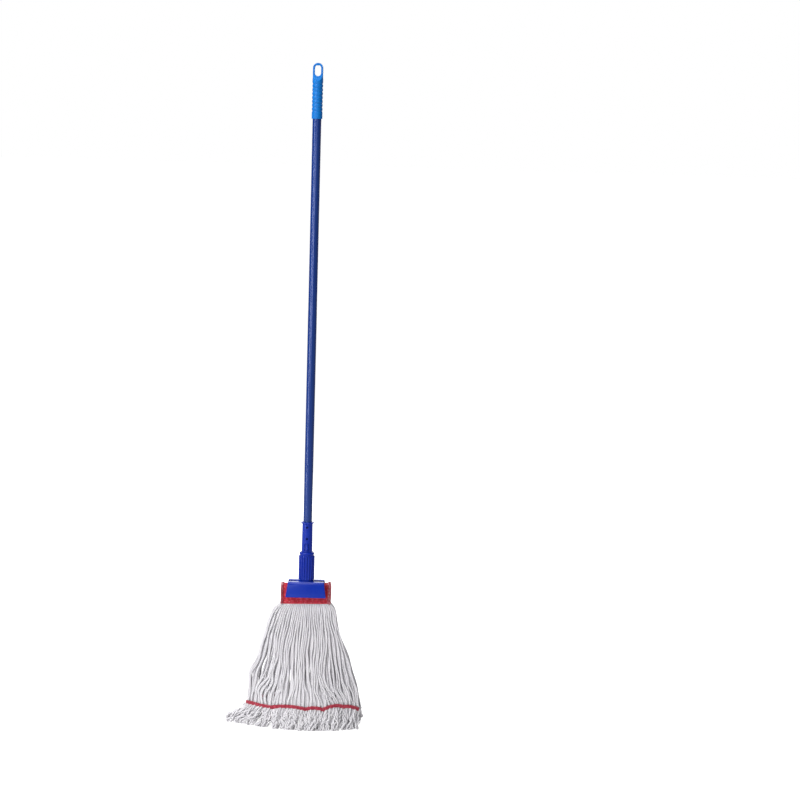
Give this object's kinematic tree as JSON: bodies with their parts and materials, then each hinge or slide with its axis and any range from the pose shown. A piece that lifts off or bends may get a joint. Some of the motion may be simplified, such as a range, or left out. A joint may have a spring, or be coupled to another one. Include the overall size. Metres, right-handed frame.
{
  "type": "string mop",
  "caption": "String mop: steel handle with hanging grip, screw-down jaw clamp holding a folded headband, and two banded curtains of looped yarn with a fanned fringe.",
  "frame": {"origin": "middle of the flat seat at the top of the hanging hole, where a hook bears, on the handle's axis", "axes": "+Z along the handle towards its hanging end, +X to the right as the mop is seen from the front, +Y to the back; the fringe ends lie in a plane 1647.7 mm below the origin"},
  "size_m": [0.3442, 0.1753, 1.654],
  "materials": {
    "grip_plastic": "satin light blue moulded plastic",
    "tube_paint": "glossy dark blue plastic-coated steel",
    "plug_plastic": "natural plastic, hidden inside the tube",
    "clamp_plastic": "ultramarine moulded plastic",
    "zinc_steel": "zinc plated steel",
    "red_mesh": "coarse woven red mesh tape",
    "white_yarn": "four-ply twisted white cotton yarn"
  },
  "bodies": {
    "handle": {"hanging_grip": "grip_plastic", "handle_tube": "tube_paint", "tube_end_plug": "plug_plastic", "socket_screw_upper": "zinc_steel", "socket_screw_lower": "zinc_steel", "clamp_body": "clamp_plastic", "front_jaw_pin": "zinc_steel", "rear_jaw_pin": "zinc_steel"},
    "washer": {"thrust_washer": "clamp_plastic"},
    "nut": {"clamp_nut": "clamp_plastic"},
    "front_jaw_body": {"front_jaw": "clamp_plastic"},
    "rear_jaw_body": {"rear_jaw": "clamp_plastic"},
    "refill": {"headband_outer": "red_mesh", "headband_yarn": "white_yarn", "headband_inner": "red_mesh", "headband_hem_right": "red_mesh", "headband_hem_left": "red_mesh"},
    "front_curtain_body": {"front_curtain": "white_yarn", "front_fringe": "white_yarn", "front_tail_tape_outer": "red_mesh", "front_tail_tape_inner": "red_mesh"},
    "rear_curtain_body": {"rear_curtain": "white_yarn", "rear_fringe": "white_yarn", "rear_tail_tape_outer": "red_mesh", "rear_tail_tape_inner": "red_mesh"}
  },
  "joints": [
    {"name": "nut_travel", "type": "slide", "parent": "handle", "child": "washer", "axis": [0, 0, 1], "range_m": [0, 0.005]},
    {"name": "nut_turn", "type": "hinge", "parent": "washer", "child": "nut", "pos_m": [0, 0, -1.245], "axis": [0, 0, 1], "range_deg": [0, 360]},
    {"name": "front_jaw_open", "type": "hinge", "parent": "handle", "child": "front_jaw_body", "pos_m": [0, -0.007, -1.2897], "axis": [-1, 0, 0], "range_deg": [0, 22]},
    {"name": "rear_jaw_open", "type": "hinge", "parent": "handle", "child": "rear_jaw_body", "pos_m": [0, 0.007, -1.2897], "axis": [1, 0, 0], "range_deg": [0, 22]},
    {"name": "refill_release", "type": "slide", "parent": "handle", "child": "refill", "axis": [0, 0, -1], "range_m": [0, 0.08]},
    {"name": "front_curtain_swing", "type": "hinge", "parent": "refill", "child": "front_curtain_body", "pos_m": [0, -0.012, -1.3402], "axis": [-1, 0, 0], "range_deg": [0, 50]},
    {"name": "rear_curtain_swing", "type": "hinge", "parent": "refill", "child": "rear_curtain_body", "pos_m": [0, 0.012, -1.3402], "axis": [1, 0, 0], "range_deg": [0, 50]}
  ],
  "couplings": [
    {"joint": "nut_travel", "follows": "nut_turn", "m_per_rad": 0.00079577},
    {"joint": "front_jaw_open", "follows": "nut_turn", "ratio": 0.061111},
    {"joint": "rear_jaw_open", "follows": "nut_turn", "ratio": 0.061111}
  ]
}
